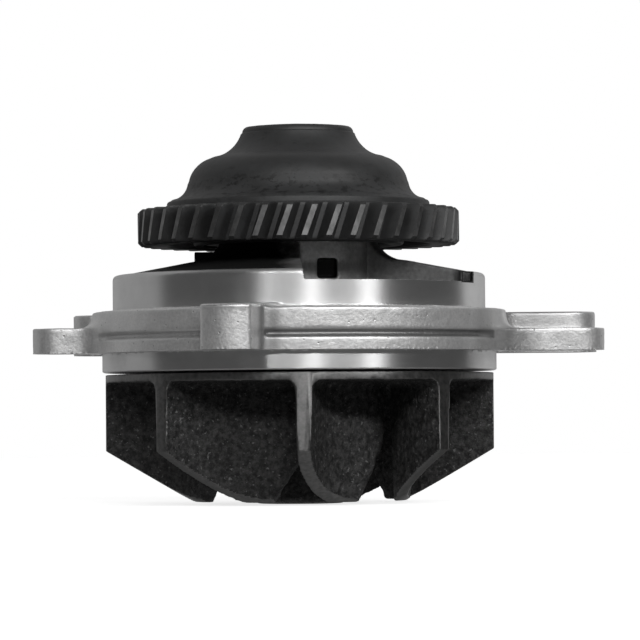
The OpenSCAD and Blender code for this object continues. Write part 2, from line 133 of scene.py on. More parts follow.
class Grid:
    """A regular grid of points in mm, on which distance fields are worked out."""

    def __init__(self, low, high, step):
        self.step = step
        self.low = np.floor(np.array(low) / step - 2) * step
        self.high = np.array(high) + 2 * step
        x, y, z = [
            np.arange(a, b, step, dtype=np.float32) for a, b in zip(self.low, self.high)
        ]
        self.x, self.y, self.z = x[:, None], y[None, :], z
        self.r = np.hypot(self.x, self.y)

    def turned(self, points):
        """Field of a closed [radius, height] profile turned round the shaft axis."""
        spacing = 0.1
        rows = np.arange(0, self.r.max() + 2 * spacing, spacing, dtype=np.float32)
        table = polygon_distance(points, rows[:, None], self.z[None, :])
        at = self.r / spacing
        i = at.astype(int)
        f = (at - i)[..., None].astype(np.float32)
        return table[i] * (1 - f) + table[i + 1] * f

    def extruded(self, plan, z0, z1, rounding=0.0):
        """Field of a flat outline, given as its distances, drawn out from z0 to z1 with rounded edges."""
        side = plan[:, :, None] + rounding
        ends = (np.abs(self.z - (z0 + z1) / 2) - (z1 - z0) / 2 + rounding).astype(np.float32)
        outside = np.hypot(np.maximum(side, 0), np.maximum(ends, 0))
        return np.minimum(np.maximum(side, ends), 0) + outside - rounding

    def bar(self, at, r, angle, length):
        """Plan of a round-ended bar from a lug's centre back towards the flange."""
        dx, dy = -cos(angle), -sin(angle)
        px, py = self.x - at[0], self.y - at[1]
        t = np.clip(px * dx + py * dy, 0, length)
        return np.hypot(px - t * dx, py - t * dy) - r

    def disc(self, at, r):
        """Plan of a disc."""
        return np.hypot(self.x - at[0], self.y - at[1]) - r

    def block(self, centre, size, angle=0.0):
        """Plan of a rectangle."""
        px, py = self.x - centre[0], self.y - centre[1]
        u = np.abs(px * cos(angle) + py * sin(angle)) - size[0] / 2
        v = np.abs(py * cos(angle) - px * sin(angle)) - size[1] / 2
        return np.hypot(np.maximum(u, 0), np.maximum(v, 0)) + np.minimum(np.maximum(u, v), 0)

    def sector(self, a0, a1):
        """Plan of a wedge between two angles of less than half a turn."""
        right = self.x * sin(a0) - self.y * cos(a0)
        left = self.y * cos(a1) - self.x * sin(a1)
        return np.maximum(right, left)

    def surface(self, field):
        """Vertices and faces where the field is zero."""
        band = 3 * self.step
        values = np.clip(field, -band, band).astype(np.float32)
        grid = openvdb.FloatGrid(band)
        grid.copyFromArray(values, tolerance=1e-5)
        points, quads = grid.convertToQuads(isovalue=0)
        return points * self.step + self.low, quads


# ---- noise for real surface relief ----


def lattice_noise(points, size, seed):
    """Smooth noise from -1 to 1 with features about size mm wide."""
    n = 48
    lattice = np.random.RandomState(seed).uniform(-1, 1, (n, n, n)).astype(np.float32)
    p = points / size + 100
    i = np.floor(p).astype(int)
    f = p - i
    f = f * f * (3 - 2 * f)
    total = np.zeros(len(points))
    for corner in range(8):
        d = np.array([corner & 1, corner >> 1 & 1, corner >> 2])
        weight = np.where(d, f, 1 - f).prod(1)
        j = (i + d) % n
        total += weight * lattice[j[:, 0], j[:, 1], j[:, 2]]
    return total


def fractal(points, size, seed, octaves=3):
    """Several layers of lattice noise, each half the size and half the height of the last."""
    return sum(
        lattice_noise(points, size / 2**k, seed + k) / 2**k for k in range(octaves)
    )


# ---- meshes ----


def add_mesh(name, points, faces):
    """New object from points in mm and faces that all have the same number of corners."""
    mesh = bpy.data.meshes.new(name)
    mesh.vertices.add(len(points))
    mesh.vertices.foreach_set("co", np.ravel(points * MM).astype(np.float32))
    mesh.loops.add(faces.size)
    mesh.loops.foreach_set("vertex_index", faces.ravel().astype(np.int32))
    mesh.polygons.add(len(faces))
    mesh.polygons.foreach_set("loop_start", np.arange(0, faces.size, faces.shape[1], dtype=np.int32))
    mesh.polygons.foreach_set("use_smooth", np.ones(len(faces), bool))
    mesh.update(calc_edges=True)
    mesh.validate()
    obj = bpy.data.objects.new(name, mesh)
    bpy.context.collection.objects.link(obj)
    return obj


def points_of(mesh):
    """Places of a mesh's vertices, in mm."""
    co = np.zeros(len(mesh.vertices) * 3, np.float32)
    mesh.vertices.foreach_get("co", co)
    return co.reshape(-1, 3).astype(float) / MM


def normals_of(mesh):
    n = np.zeros(len(mesh.vertices) * 3, np.float32)
    mesh.vertex_normals.foreach_get("vector", n)
    return n.reshape(-1, 3)


def move_points(mesh, points):
    mesh.vertices.foreach_set("co", np.ravel(points * MM).astype(np.float32))
    mesh.update()


def thin_out(obj, most_triangles, keep=None):
    """Collapses small faces, away from the vertices to keep, until the triangles are few enough."""
    triangles = sum(len(p.vertices) - 2 for p in obj.data.polygons)
    modifier = obj.modifiers.new("thin", "DECIMATE")
    modifier.ratio = min(1, most_triangles / triangles)
    if keep is not None:
        group = obj.vertex_groups.new(name="keep")
        group.add(np.flatnonzero(keep).tolist(), 1.0, "REPLACE")
        modifier.vertex_group = "keep"
        modifier.invert_vertex_group = True
    shown = obj.evaluated_get(bpy.context.evaluated_depsgraph_get())
    mesh = bpy.data.meshes.new_from_object(shown)
    obj.modifiers.clear()
    obj.vertex_groups.clear()
    old = obj.data
    obj.data = mesh
    bpy.data.meshes.remove(old)


def face_centres(mesh):
    """Middles of a mesh's faces, in mm."""
    centres = np.zeros(len(mesh.polygons) * 3, np.float32)
    mesh.polygons.foreach_get("center", centres)
    return centres.reshape(-1, 3) / MM


# ---- housing ----

BODY_R = 55.9
BODY_H = 11.2
PLATE_H = 3.4
COVE_TOP = 5.05
COVE_DEPTH = 1.3
HIGH_RIM = 21.0
LOW_RIM = 18.1
EAR_H = 6.0
LEFT_EAR_H = 6.9
FRONT_PAD = 11.6
SIDE_PAD = 11.1
BOLT_R = mounts["bolts_left_right"]["dims"]["hole_r_mm"]
# Round ends of the ears, and how far their straight sides run back towards the shaft
LUG_R = 7.4
WIDE_LUG_R = 8.0
LUG_ROOT = 30
SIDE_PAD_ROOT = 14
FRONT_LUG, BACK_LUG = (-17.3, -57.75), (-17.3, 57.75)
LEFT_LUG, LEFT_BACK_LUG = (-64.2, -7), (-55.25, 28.5)
RIGHT_LUG, RIGHT_BACK_LUG = (74, -7), (74.4, 28.5)
BOSS_HALF = 7.0
BOSS_ARC_R = 12.5
BOSS_TIP = 7.6
BOSS_ROOT = 35
SNOUT_R = 20.5
SNOUT_FILLET = 9.0
CONE_INNER_Z = 24.6
POCKET_FLOOR = 13.5
POCKET_TOP = 33
POCKET_FROM, POCKET_TO = FRONT + radians(1.5), FRONT + radians(63)
POCKET_WALL = 4.2
NOTCH_AT, NOTCH_SIZE = (44.6, -21), (2.6, 7)
WINDOW_AT, WINDOW_SIZE = (7.68, -19), (5.5, 4.5)
WINDOW_TURN, WINDOW_HEIGHTS = radians(22), (19.6, 24.6)
WEEP_R, WEEP_Z = 2, 5.75
POST_AT, POST_SIZE, POST_HEIGHTS = (-24.6, 16), (8, 12), (20.6, 28)


def housing_profile():
    """Outside of the flange, upper spigot and snout, then the bores."""
    snout_top = housing_high[2]
    return (
        [(18, -2), (BODY_R, -2), (BODY_R, PLATE_H - 0.4)]
        + [(BODY_R - 0.3, PLATE_H + 0.1), (BODY_R - COVE_DEPTH, PLATE_H + 0.5)]
        + [(BODY_R - COVE_DEPTH, COVE_TOP - 0.5), (BODY_R - 0.3, COVE_TOP - 0.1), (BODY_R, COVE_TOP + 0.4)]
        + arc((BODY_R - 0.7, BODY_H - 0.7), 0.7, 0, 90, 6)
        + arc((SPIGOT_R + 0.5, BODY_H + 0.5), 0.5, 270, 180, 4)
        + arc((SPIGOT_R - 1.3, HIGH_RIM - 1.3), 1.3, 0, 80, 6)
        + [(SPIGOT_R - 2, HIGH_RIM)]
        + arc((SNOUT_R + SNOUT_FILLET, CONE_INNER_Z + SNOUT_FILLET), SNOUT_FILLET, 270, 180, 12)
        + [(SNOUT_R, snout_top - 0.6), (SNOUT_R - 0.6, snout_top), (15.5, snout_top)]
        + [(15.5, snout_top - 0.4), (15, snout_top - 0.8), (15, 46.7), (15.8, 46.7), (15.8, 45.5)]
        + [(15, 45.5), (15, 13.8), (12, 13.8), (12, 13), (13, 13), (13, 8), (14, 8), (14, 3.5), (18, 3.5)]
    )


def add_ear(grid, solid, lugs, top, fillet):
    """Joins thin ears to the flange: a wide concave corner in plan, and a softer one above the ear."""
    plan = grid.disc((0, 0), BODY_R - COVE_DEPTH - 0.4)
    near = np.full(plan.shape, 1e9)
    for at, r, angle in lugs:
        bar = grid.bar(at, r, angle, LUG_ROOT)
        plan = smooth_min(plan, bar, fillet)
        near = np.minimum(near, bar)
    softness = 0.8 + 3.4 * np.clip(1 - near / 7, 0, 1)
    return smooth_min(solid, grid.extruded(plan, -2, top, 0.45), softness[:, :, None].astype(np.float32))


def boss_plan(grid, at):
    """Plan of a full-height boss: flat sides, cut off by a wider arc."""
    reach = np.hypot(*at)
    u = np.array(at) / reach
    middle = u * (reach + BOSS_TIP - BOSS_ARC_R)
    side = np.abs(grid.x * u[1] - grid.y * u[0]) - BOSS_HALF
    bar = np.maximum(side, BOSS_ROOT - (grid.x * u[0] + grid.y * u[1]))
    return -smooth_min(-bar, -grid.disc(middle, BOSS_ARC_R), 0.9)


def cut_pockets(grid, solid):
    """Pocket for the mating gear with its stepped rim, the cast window in the snout and the rim's notch."""
    wedge = grid.sector(POCKET_FROM, POCKET_TO)
    low_cut = np.maximum(wedge, SNOUT_R + 0.3 - grid.r)
    deep_cut = np.maximum(low_cut, grid.r - (SPIGOT_R - POCKET_WALL))
    for cut in (
        grid.extruded(low_cut, LOW_RIM, POCKET_TOP),
        grid.extruded(deep_cut, POCKET_FLOOR, POCKET_TOP),
        grid.extruded(grid.block(NOTCH_AT, NOTCH_SIZE), LOW_RIM, POCKET_TOP),
        grid.extruded(grid.block(WINDOW_AT, WINDOW_SIZE, WINDOW_TURN), *WINDOW_HEIGHTS, 0.4),
    ):
        solid = -smooth_min(-solid, cut, 0.3)
    return solid


def make_housing():
    """The aluminium casting, with fillets between the lugs and the flange and an uneven cast skin."""
    grid = Grid(housing_low, housing_high, GRID_STEP)
    solid = grid.turned(housing_profile())
    solid = add_ear(grid, solid, [(LEFT_LUG, LUG_R, pi)], LEFT_EAR_H, 8)
    right = [(RIGHT_LUG, WIDE_LUG_R, 0), (RIGHT_BACK_LUG, WIDE_LUG_R, 0)]
    solid = add_ear(grid, solid, right, EAR_H, 17)
    upright = grid.disc((0, 0), SPIGOT_R - 2)
    for at in (FRONT_LUG, BACK_LUG):
        right_side = np.clip((grid.x * abs(at[1]) - at[0] * abs(grid.y)) / np.hypot(*at) / 7, -1, 1)
        upright = smooth_min(upright, boss_plan(grid, at), 6 + 4 * right_side)
    solid = smooth_min(solid, grid.extruded(upright, -2, FRONT_PAD, 0.35), 1.5)
    left = smooth_min(grid.disc((0, 0), SPIGOT_R - 2), grid.bar(LEFT_BACK_LUG, LUG_R, pi, LUG_ROOT), 8)
    solid = smooth_min(solid, grid.extruded(left, -2, SIDE_PAD, 0.4), 0.6)
    pad = grid.bar(RIGHT_BACK_LUG, WIDE_LUG_R - 0.3, 0, SIDE_PAD_ROOT)
    solid = smooth_min(solid, grid.extruded(pad, EAR_H - 1, SIDE_PAD, 0.5), 0.9)
    post = grid.extruded(grid.block(POST_AT, POST_SIZE), *POST_HEIGHTS, 0.4)
    solid = smooth_min(solid, post, 0.8)
    solid = np.maximum(solid, -grid.z)
    bottom = housing_low[2]
    pilot = [(18, 2), (18, bottom), (PILOT_R - 0.35, bottom), (PILOT_R, bottom + 0.35), (PILOT_R, 2)]
    solid = np.minimum(solid, grid.turned(pilot))
    solid = cut_pockets(grid, solid)
    for at in (FRONT_LUG, BACK_LUG, LEFT_LUG, LEFT_BACK_LUG, RIGHT_LUG, RIGHT_BACK_LUG):
        solid = np.maximum(solid, -grid.disc(at, BOLT_R)[:, :, None])
    weep = np.hypot(grid.x[:, :, None], grid.z - WEEP_Z) - WEEP_R
    weep = np.where(grid.y[:, :, None] > 0, weep, 9).astype(np.float32)
    solid = np.maximum(solid, -weep)

    points, quads = grid.surface(solid)
    obj = add_mesh("housing_casting", points, quads)
    roughen_casting(obj.data)
    walls = [(PILOT_R, housing_low[2] + 0.3, 0.1), (SPIGOT_R, BODY_H + 0.3, HIGH_RIM - 1)]
    kept = np.any(on_walls(points_of(obj.data), walls), axis=0) | on_lower_edge(obj.data)
    thin_out(obj, MOST_TRIANGLES, kept)
    true_walls(obj.data, walls)
    mark_turned(obj)
    return obj


# Points this close above or below the gasket face count as on it
GASKET_SKIN = 0.06


def is_turned(p):
    """True on the machined faces of the housing: spigots, gasket face, bolt seats, snout end and bores."""
    r = np.hypot(p[:, 0], p[:, 1])
    z = p[:, 2]
    spigot = (np.abs(r - SPIGOT_R) < 0.25) & (z > BODY_H + 0.35)
    rim = (r > SPIGOT_R - 2.4) & (z > BODY_H + 0.6)
    pilot = (r < PILOT_R + 0.3) & (z < -0.12)
    gasket = z < GASKET_SKIN
    seats = (r > BODY_R - 1) & (np.abs(z - FRONT_PAD) < 0.08)
    ears = (r > BODY_R + 2) & (np.abs(z - SIDE_PAD) < 0.08)
    snout = z > housing_high[2] - 0.5
    bores = r < 19
    return spigot | rim | pilot | gasket | seats | ears | snout | bores


def is_painted_shade(p):
    """True on the faces inside the rim under the gear, where shade is painted, and in the rim's notch, which
    is painted dark.
    """
    r = np.hypot(p[:, 0], p[:, 1])
    inside = (r < SPIGOT_R - 2.2) & (p[:, 2] > POCKET_FLOOR - 0.5) & (r > 15.5)
    beside_notch = np.abs(p[:, 0] - NOTCH_AT[0]) < NOTCH_SIZE[0] / 2 + 0.5
    in_notch = beside_notch & (p[:, 1] < NOTCH_AT[1] + 4) & (p[:, 1] > -28) & (p[:, 2] > LOW_RIM - 0.3)
    return inside | in_notch


def roughen_casting(mesh):
    """Uneven cast skin away from the machined faces, which only goes inwards."""
    p = points_of(mesh)
    n = normals_of(mesh)
    gasket = p[:, 2] < GASKET_SKIN
    turned = is_turned(p) & ~(gasket & (p[:, 2] > -GASKET_SKIN))
    lift = 0.04 * fractal(p, 2.2, 11) + 0.06 * lattice_noise(p, 9, 17)
    shift = n * np.where(turned, 0, lift - 0.13)[:, None]
    shift[gasket, 2] = 0
    move_points(mesh, p + shift)


def on_walls(p, walls):
    """For each turned wall (radius, low, high), which points lie on it."""
    r = np.hypot(p[:, 0], p[:, 1])
    return [(np.abs(r - radius) < 0.2) & (p[:, 2] > low) & (p[:, 2] < high) for radius, low, high in walls]


def on_lower_edge(mesh):
    """True on the flange's edge just above the gasket face."""
    p = points_of(mesh)
    aside = normals_of(mesh)[:, 2] > -0.95
    return aside & (np.hypot(p[:, 0], p[:, 1]) > PILOT_R + 1) & (p[:, 2] < 1.1)


def true_walls(mesh, walls):
    """Puts turned walls on their exact radius, shaded as true cylinders, and squares the lower edge."""
    p = points_of(mesh)
    normals = normals_of(mesh).astype(float)
    for near, wall in zip(on_walls(p, walls), walls):
        outward = p[near, :2] / np.hypot(p[near, 0], p[near, 1])[:, None]
        p[near, :2] = outward * wall[0]
        normals[near] = np.c_[outward, np.zeros(len(outward))]
    edge = on_lower_edge(mesh)
    normals[edge, 2] = 0
    normals[edge] /= np.linalg.norm(normals[edge], axis=1)[:, None]
    move_points(mesh, p)
    mesh.normals_split_custom_set_from_vertices(normals)


def mark_turned(obj):
    """Gives each face of the housing its cast, turned or painted-shade finish."""
    centres = face_centres(obj.data)
    facing = np.zeros(len(centres) * 3, np.float32)
    obj.data.polygons.foreach_get("normal", facing)
    edge = (np.hypot(centres[:, 0], centres[:, 1]) > PILOT_R + 0.5) & (facing[2::3] > -0.8)
    # Finish 2 paints shade under the gear and in the rim's notch.
    finish = np.where(is_painted_shade(centres), 2, is_turned(centres) & ~(edge & (centres[:, 2] < GASKET_SKIN)))
    obj.data.materials.append(cast_aluminium())
    obj.data.materials.append(turned_aluminium())
    obj.data.materials.append(painted_shade_aluminium())
    obj.data.polygons.foreach_set("material_index", finish.astype(np.int32))
    obj.data.polygons.foreach_set("use_smooth", np.ones(len(finish), bool))


# ---- impeller ----

VANES = 8
VANE_AT = FRONT + radians(1.1)
VANE_LINE = [
    (52.9, 0), (48, 0.3), (43.2, 1.4), (38.4, 3.7), (34.6, 7), (31.8, 11.8), (29.8, 17.5), (28.8, 24),
    (28.4, 31), (28, 38), (27.3, 45),
]
VANE_T = 3.8
VANE_CORNER = -26.2
VANE_BOTTOM = -39.9
FLAT_R = 29.2
# Foot of a vane's inner end (radius, angle), and how far the end leans forward on its way up
VANE_END = (28.5, radians(30))
VANE_END_LEAN = radians(31)


def one_vane(grid, turn, draft):
    """Field of one vane, with its inner end cut on the slant."""
    plan = np.full(grid.r.shape, 1e9, np.float32)
    line = [(r * cos(turn + radians(a)), r * sin(turn + radians(a))) for r, a in VANE_LINE]
    for i, ((ax, ay), (bx, by)) in enumerate(zip(line, line[1:])):
        ex, ey = bx - ax, by - ay
        t = np.clip(((grid.x - ax) * ex + (grid.y - ay) * ey) / (ex * ex + ey * ey), 0, 1)
        half = VANE_T / 2 + 0.5 * (i + t) / (len(line) - 1)
        plan = np.minimum(plan, np.hypot(grid.x - ax - t * ex, grid.y - ay - t * ey) - half)
    a = turn + VANE_END[1]
    ahead = (grid.y - VANE_END[0] * sin(a)) * cos(a) - (grid.x - VANE_END[0] * cos(a)) * sin(a)
    cut = ahead[:, :, None] * cos(VANE_END_LEAN) - (grid.z - VANE_BOTTOM) * sin(VANE_END_LEAN)
    return -smooth_min(draft - plan[:, :, None], -cut.astype(np.float32), 1.4)


def make_impeller():
    """Open impeller: sand-cast vanes and disc inside a turned envelope."""
    grid = Grid(impeller_low, impeller_high, GRID_STEP)
    top = impeller_high[2]
    r = impeller_high[0]
    foot = impeller_low[2]
    disc_low = top - 2.1
    draft = (0.022 * (grid.z - VANE_CORNER)).astype(np.float32)
    vanes = one_vane(grid, VANE_AT, draft)
    for k in range(1, VANES):
        vanes = np.minimum(vanes, one_vane(grid, VANE_AT + k * 2 * pi / VANES, draft))
    vanes = np.maximum(vanes, grid.z - (top - 0.6))
    disc = grid.turned(
        [(0, top), (r + 2, top), (r + 2, disc_low), (30, disc_low - 0.4), (20, disc_low - 2.2)]
        + [(14.5, disc_low - 8), (12.5, VANE_BOTTOM + 4), (12.5, foot + 1.2), (11.3, foot), (0, foot)]
    )
    solid = smooth_min(vanes, disc, 2.6)
    envelope = grid.turned(
        [(0, top), (r, top), (r, VANE_CORNER), (FLAT_R, VANE_BOTTOM), (14, VANE_BOTTOM)]
        + [(14, foot), (0, foot)]
    )
    solid = np.maximum(solid, envelope)
    seat_floor = top - 6.2
    seat_r = 15.6
    bore = grid.turned(
        [(0, foot - 2), (SHAFT_R, foot - 2), (SHAFT_R, seat_floor)]
        + [(seat_r, seat_floor), (seat_r, top + 2), (0, top + 2)]
    )
    solid = np.maximum(solid, -bore)
    points, quads = grid.surface(solid)
    obj = add_mesh("impeller_casting", points, quads)
    roughen_impeller(obj.data, r, top)
    thin_out(obj, MOST_TRIANGLES)
    smooth = impeller_turned(face_centres(obj.data), r, top)
    obj.data.materials.append(cast_iron())
    obj.data.materials.append(turned_iron())
    obj.data.polygons.foreach_set("material_index", smooth.astype(np.int32))
    obj.data.polygons.foreach_set("use_smooth", np.ones(len(smooth), bool))
    return obj


def impeller_turned(p, r, top):
    """True on the turned rim, vane tips, vane bottoms, seal seat, bore and the top of the disc."""
    radius = np.hypot(p[:, 0], p[:, 1])
    slope = (VANE_CORNER - VANE_BOTTOM) / (r - FLAT_R)
    cone = (p[:, 2] - (VANE_BOTTOM + (radius - FLAT_R) * slope)) * cos(atan(slope))
    rim = radius > r - 0.22
    under = (cone < 0.22) & (radius > 14)
    bottom = (p[:, 2] < VANE_BOTTOM + 0.2) & (radius > 14)
    seat = (radius < 15.9) & (p[:, 2] > top - 6.5)
    return rim | under | bottom | seat | (p[:, 2] > top - 0.3) | (radius < 11.6)


def roughen_impeller(mesh, r, top):
    """Coarse sand-cast skin on the vanes and disc, away from the turned faces."""
    p = points_of(mesh)
    n = normals_of(mesh)
    free = ~impeller_turned(p, r, top)
    lift = 0.2 * fractal(p, 1.9, 31, 3) - 0.05
    p = p + n * np.where(free, lift, 0)[:, None]
    move_points(mesh, p)


# ---- drive gear ----

TEETH = 42
GEAR_FACE = 9.75
HELIX = radians(19)
TOOTH_AT = FRONT + radians(3.9)
TOOTH_CHAMFER = 0.9
WEB_R = 38.0
TIP_R = 43.4
MODULE = TIP_R / (TEETH / cos(HELIX) / 2 + 1)
PITCH_R = TIP_R - MODULE
ROOT_R = PITCH_R - 1.25 * MODULE
TOOTH_PITCH = 2 * pi / TEETH


def tooth_radius(turn, inset):
    """Radius of the toothed outline at an angle from a tooth's middle, cut back by inset mm."""
    a = np.abs((turn / TOOTH_PITCH + 0.5) % 1 - 0.5)
    half = [0, 0.115, 0.135, 0.25, 0.285, 0.345, 0.39, 0.5]
    radii = [TIP_R, TIP_R, TIP_R - 0.25, PITCH_R, PITCH_R - 0.7, ROOT_R + 0.5, ROOT_R, ROOT_R]
    shift = inset / (TIP_R * TOOTH_PITCH)
    return np.interp(a + shift, half, radii) - inset


def gear_profile():
    """Rows of the gear from the bore's top round the outside and back: (radius, height, toothed, inset)."""
    z0, z1 = gear_low[2], gear_low[2] + GEAR_FACE
    top = gear_high[2]
    rows = []

    def plain(points):
        rows.extend((r, z, False, 0) for r, z in points)

    plain([(SHAFT_R + 0.8, top - 0.9), (SHAFT_R + 0.8, top), (10.5, top)])
    plain(reversed(arc((13.4, top - 1.8), 1.7, 0, 66, 6)))
    plain(reversed(arc((24.3, 62.2), 9.34, 262, 199, 14)))
    plain(reversed(arc((21.6, 44.7), 8.2, 12, 72, 14)))
    plain(reversed(arc((34.9, 46.3), 5, 262, 188, 8)))
    plain(reversed(arc((34.7, z1 + 1.5), 0.8, 0, 90, 5)))
    plain([(35.5, z1 + 0.5), (35.9, z1 + 0.05), (36.6, z1)])
    for inset, drop in ((0.3, 0.0), (0.08, 0.1), (0.0, 0.3)):
        rows.append((WEB_R, z1 - drop, True, inset))
    for z in np.linspace(z1 - TOOTH_CHAMFER, z0 + TOOTH_CHAMFER, 8):
        rows.append((WEB_R, z, True, 0.0))
    for inset, drop in ((0.0, 0.3), (0.08, 0.1), (0.3, 0.0)):
        rows.append((WEB_R, z0 + drop, True, inset))
    plain([(37.4, z0), (35.9, z0), (35.4, z0 + 0.5), (35.4, z0 + 3.2), (34.4, z0 + 4.2), (29.4, z0 + 4.2)])
    plain([(28.4, z0 + 3.2), (28.4, z0 + 0.5), (27.9, z0), (25.4, z0), (24.7, z0 + 0.4), (24.5, z0 + 1)])
    plain([(24.5, 42), (22.8, 44), (22.8, 47.8), (21.8, 48.8), (SHAFT_R, 48.8), (SHAFT_R, top - 1.4)])
    return rows


def make_gear():
    """Helical gear and domed hub as one grid of rows and columns round the shaft."""
    z0, z1 = gear_low[2], gear_low[2] + GEAR_FACE
    twist = tan(HELIX) / PITCH_R
    within = np.array([0, 0.07, 0.115, 0.135, 0.19, 0.25, 0.285, 0.345, 0.39, 0.44])
    within = np.concatenate([within, 1 - within[:0:-1]])
    turns = (np.arange(TEETH)[:, None] + within[None, :]).ravel() * TOOTH_PITCH
    rows = gear_profile()
    points = []
    middle = (z0 + z1) / 2
    for radius, z, toothed, inset in rows:
        lean = (min(max(z, z0), z1) - middle) * twist
        angle = TOOTH_AT + turns + lean
        if toothed:
            chamfer = TIP_R - TOOTH_CHAMFER + min(z1 - z, z - z0) * 1.1
            r = np.minimum(tooth_radius(turns, inset), chamfer)
        else:
            r = np.full(len(turns), radius)
        points.append(np.stack([r * np.cos(angle), r * np.sin(angle), np.full(len(turns), z)], 1))
    points = np.concatenate(points)
    n_rows, n = len(rows), len(turns)
    i = np.arange(n_rows)[:, None] * n
    j = (np.arange(n_rows)[:, None] + 1) % n_rows * n
    k = np.arange(n)[None, :]
    m = (k + 1) % n
    quads = np.stack([i + k, j + k, j + m, i + m], 2).reshape(-1, 4)
    obj = add_mesh("gear_forging", points, quads)
    roughen_gear(obj.data, z1)
    obj.data.set_sharp_from_angle(angle=radians(32))
    obj.data.materials.append(black_oxide())
    obj.data.materials.append(ground_teeth())
    centres = face_centres(obj.data)
    radius = np.hypot(centres[:, 0], centres[:, 1])
    crests = (radius > TIP_R - 0.1) & (centres[:, 2] < z1 + 0.1)
    obj.data.polygons.foreach_set("material_index", crests.astype(np.int32))
    return obj


def roughen_gear(mesh, z1):
    """Slightly uneven forged skin on the hub, which only goes inwards."""
    p = points_of(mesh)
    n = normals_of(mesh)
    hub = np.clip((p[:, 2] - z1 - 0.8) / 1.5, 0, 1)
    lift = 0.03 * fractal(p, 2.4, 51) + 0.04 * lattice_noise(p, 12, 57) - 0.095
    move_points(mesh, p + n * (hub * lift)[:, None])


# ---- materials ----


class Material:
    """A principled material with short ways to add nodes."""

    def __init__(self, name, **values):
        self.made = bpy.data.materials.new(name)
        self.made.use_nodes = True
        self.tree = self.made.node_tree
        self.shader = self.tree.nodes["Principled BSDF"]
        self.coords = self.node("ShaderNodeTexCoord").outputs["Object"]
        self.set(**values)

    def set(self, **values):
        for name, value in values.items():
            self.join(self.shader.inputs[name.replace("_", " ")], value)

    def join(self, socket, value):
        if isinstance(value, bpy.types.NodeSocket):
            self.tree.links.new(value, socket)
        else:
            socket.default_value = value

    def node(self, kind, inputs=None, **props):
        made = self.tree.nodes.new(kind)
        for name, value in props.items():
            setattr(made, name, value)
        for name, value in (inputs or {}).items():
            self.join(made.inputs[name], value)
        return made

    def noise(self, mm, detail=3.0, roughness=0.55, stretch=(1, 1, 1)):
        """Noise with features about mm wide, 0 to 1."""
        scaled = self.node("ShaderNodeMapping", {"Vector": self.coords, "Scale": stretch})
        inputs = {"Vector": scaled.outputs[0], "Scale": 1000 / mm, "Detail": detail, "Roughness": roughness}
        return self.node("ShaderNodeTexNoise", inputs).outputs["Fac"]

    def cells(self, mm):
        """Distance to the nearest of scattered points about mm apart."""
        inputs = {"Vector": self.coords, "Scale": 1000 / mm}
        return self.node("ShaderNodeTexVoronoi", inputs).outputs["Distance"]

    def remap(self, value, low, high, to_low, to_high):
        """Value moved from one range to another, and held at its ends."""
        inputs = {"Value": value, "From Min": low, "From Max": high, "To Min": to_low, "To Max": to_high}
        return self.node("ShaderNodeMapRange", inputs).outputs[0]

    def math(self, operation, *values):
        return self.node("ShaderNodeMath", dict(enumerate(values)), operation=operation).outputs[0]

    def mix(self, share, a, b):
        made = self.node("ShaderNodeMix", data_type="RGBA")
        self.join(made.inputs["Factor"], share)
        self.join(made.inputs["A"], a)
        self.join(made.inputs["B"], b)
        return made.outputs["Result"]

    def bump(self, height, mm, strength=1.0, under=None):
        inputs = {"Height": height, "Distance": mm * MM, "Strength": strength}
        if under is not None:
            inputs["Normal"] = under
        return self.node("ShaderNodeBump", inputs).outputs["Normal"]


def grey(v, warmth=0.0):
    """Colour of a grey, a little towards red for a positive warmth."""
    return (v + warmth, v, v - warmth, 1)


# Upright concave corners of the casting where shade is painted into the colour: (centre, reach, strength)
SHADED_CORNERS = [
    ((49.5, -26), 8, 0.45), ((58.5, -19), 8, 0.75), ((57, 20), 19, 0.6), ((-8, -56), 4.5, 0.75),
]


def cast_aluminium():
    """Grey casting with fine grain and small pits, and painted shade in its upright corners and in the cove.
    """
    m = Material("cast_aluminium", Metallic=0.8)
    grain = m.noise(0.7, 4, 0.6)
    broad = m.noise(9, 3)
    pits = m.remap(m.cells(2.6), 0.0, 0.12, 1, 0)
    tone = m.mix(m.remap(broad, 0.35, 0.65, 0, 1), grey(0.84), grey(0.93, 0.004))
    tone = m.mix(m.remap(grain, 0.35, 0.7, 0.3, 0), tone, grey(0.5))
    tone = m.mix(m.math("MULTIPLY", pits, 0.7), tone, grey(0.12))
    upright = m.node("ShaderNodeVectorMath", {0: m.coords, 1: (1, 1, 0)}, operation="MULTIPLY").outputs[0]
    # Painted shade: the colour darkens towards each upright concave corner.
    for (x, y), reach, strength in SHADED_CORNERS:
        corner = (x * MM, y * MM, 0)
        apart = m.node("ShaderNodeVectorMath", {0: upright, 1: corner}, operation="DISTANCE")
        corner_shade = m.remap(apart.outputs["Value"], 0.4 * reach * MM, reach * MM, strength, 0)
        tone = m.mix(corner_shade, tone, grey(0.3))
    radius = m.node("ShaderNodeVectorMath", {0: upright}, operation="LENGTH").outputs["Value"]
    place = m.node("ShaderNodeSeparateXYZ", {0: m.coords}).outputs
    # Painted shade in the cove round the flange, stronger from the front to the right than on the left.
    lower = m.remap(place["Z"], 0.0029, 0.0033, 0, 1)
    cove_shade = m.math("MULTIPLY", lower, m.remap(place["Z"], 0.0050, 0.0055, 1, 0))
    cove_shade = m.math("MULTIPLY", cove_shade, m.remap(radius, 0.0560, 0.0563, 1, 0))
    cove_shade = m.math("MULTIPLY", cove_shade, m.remap(place["X"], -0.022, -0.010, 0.3, 0.8))
    tone = m.mix(cove_shade, tone, grey(0.22))
    rough = m.remap(grain, 0.3, 0.7, 0.38, 0.50)
    under = m.bump(grain, 0.10, 0.7)
    normal = m.bump(pits, -0.12, 0.8, under)
    m.set(Base_Color=tone, Roughness=rough, Normal=normal)
    return m.made


